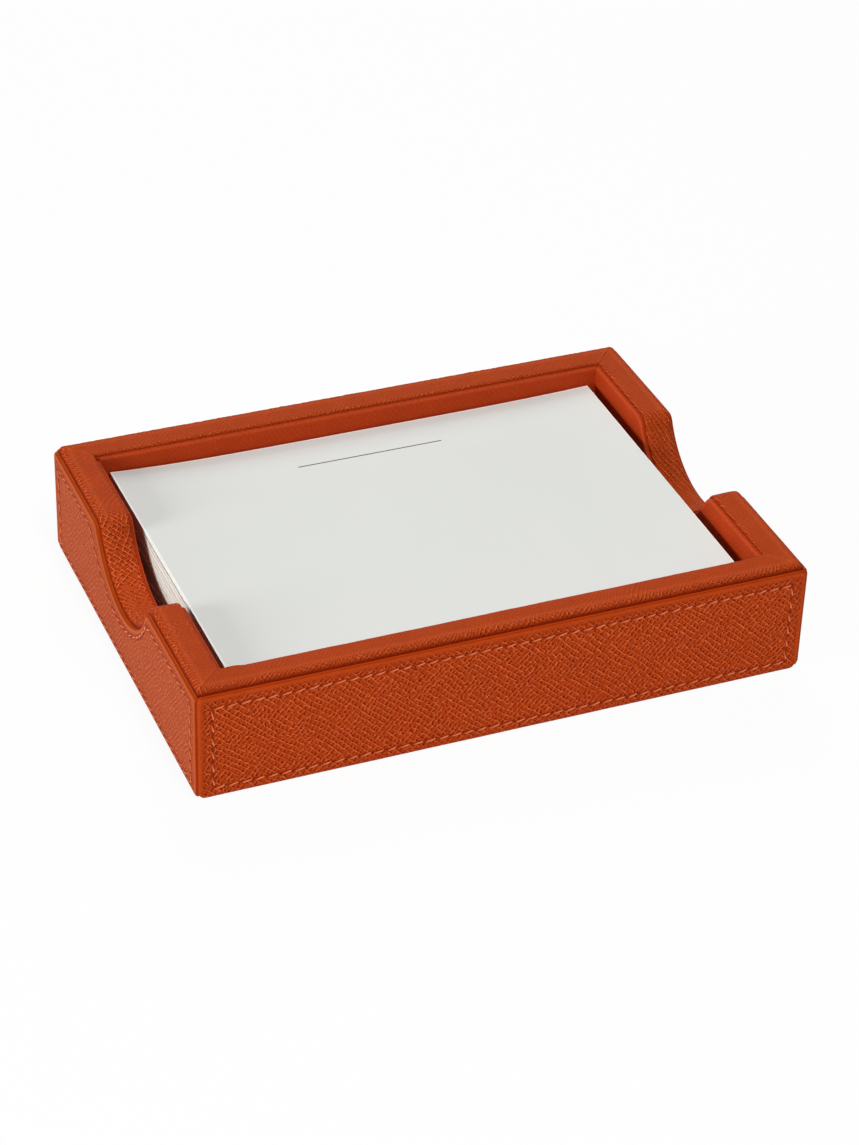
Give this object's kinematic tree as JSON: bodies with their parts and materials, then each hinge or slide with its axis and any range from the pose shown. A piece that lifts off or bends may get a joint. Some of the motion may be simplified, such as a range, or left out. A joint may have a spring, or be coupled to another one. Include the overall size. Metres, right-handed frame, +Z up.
{
  "type": "memo tray",
  "caption": "Open desk tray in stitched leather over board, with a thumb notch in each short side and a stack of loose note cards in its well.",
  "frame": {"origin": "middle of the underside", "axes": "+X along the long front wall to the right, +Y from the front wall to the back wall, +Z up"},
  "size_m": [0.195, 0.1418, 0.038],
  "materials": {
    "panel_leather": "cross-grained, satin",
    "rim_leather": "fine cross grain, pressed smooth, satin",
    "lining_leather": "smooth, matt",
    "suede": "napped",
    "thread": "waxed thread",
    "board": "plain fibre board",
    "card": "uncoated, heavy"
  },
  "bodies": {
    "tray": {"underside_cover": "suede", "base_board": "board", "floor_lining": "lining_leather", "front_wall_board": "board", "front_rim_strip": "rim_leather", "front_outer_panel": "panel_leather", "front_stitching": "thread", "front_lining": "lining_leather", "right_wall_board": "board", "right_rim_strip": "rim_leather", "right_outer_panel": "panel_leather", "right_stitching": "thread", "right_lining": "lining_leather", "back_wall_board": "board", "back_rim_strip": "rim_leather", "back_outer_panel": "panel_leather", "back_stitching": "thread", "back_lining": "lining_leather", "left_wall_board": "board", "left_rim_strip": "rim_leather", "left_outer_panel": "panel_leather", "left_stitching": "thread", "left_lining": "lining_leather"},
    "card_stack": {"card_stack": "card"},
    "top_card": {"top_card": "card"}
  },
  "joints": [
    {"name": "card_stack_lift", "type": "slide", "parent": "tray", "child": "card_stack", "axis": [0, 0, 1], "range_m": [0, 0.04]},
    {"name": "top_card_lift", "type": "slide", "parent": "card_stack", "child": "top_card", "axis": [0, 0, 1], "range_m": [0, 0.02]}
  ]
}
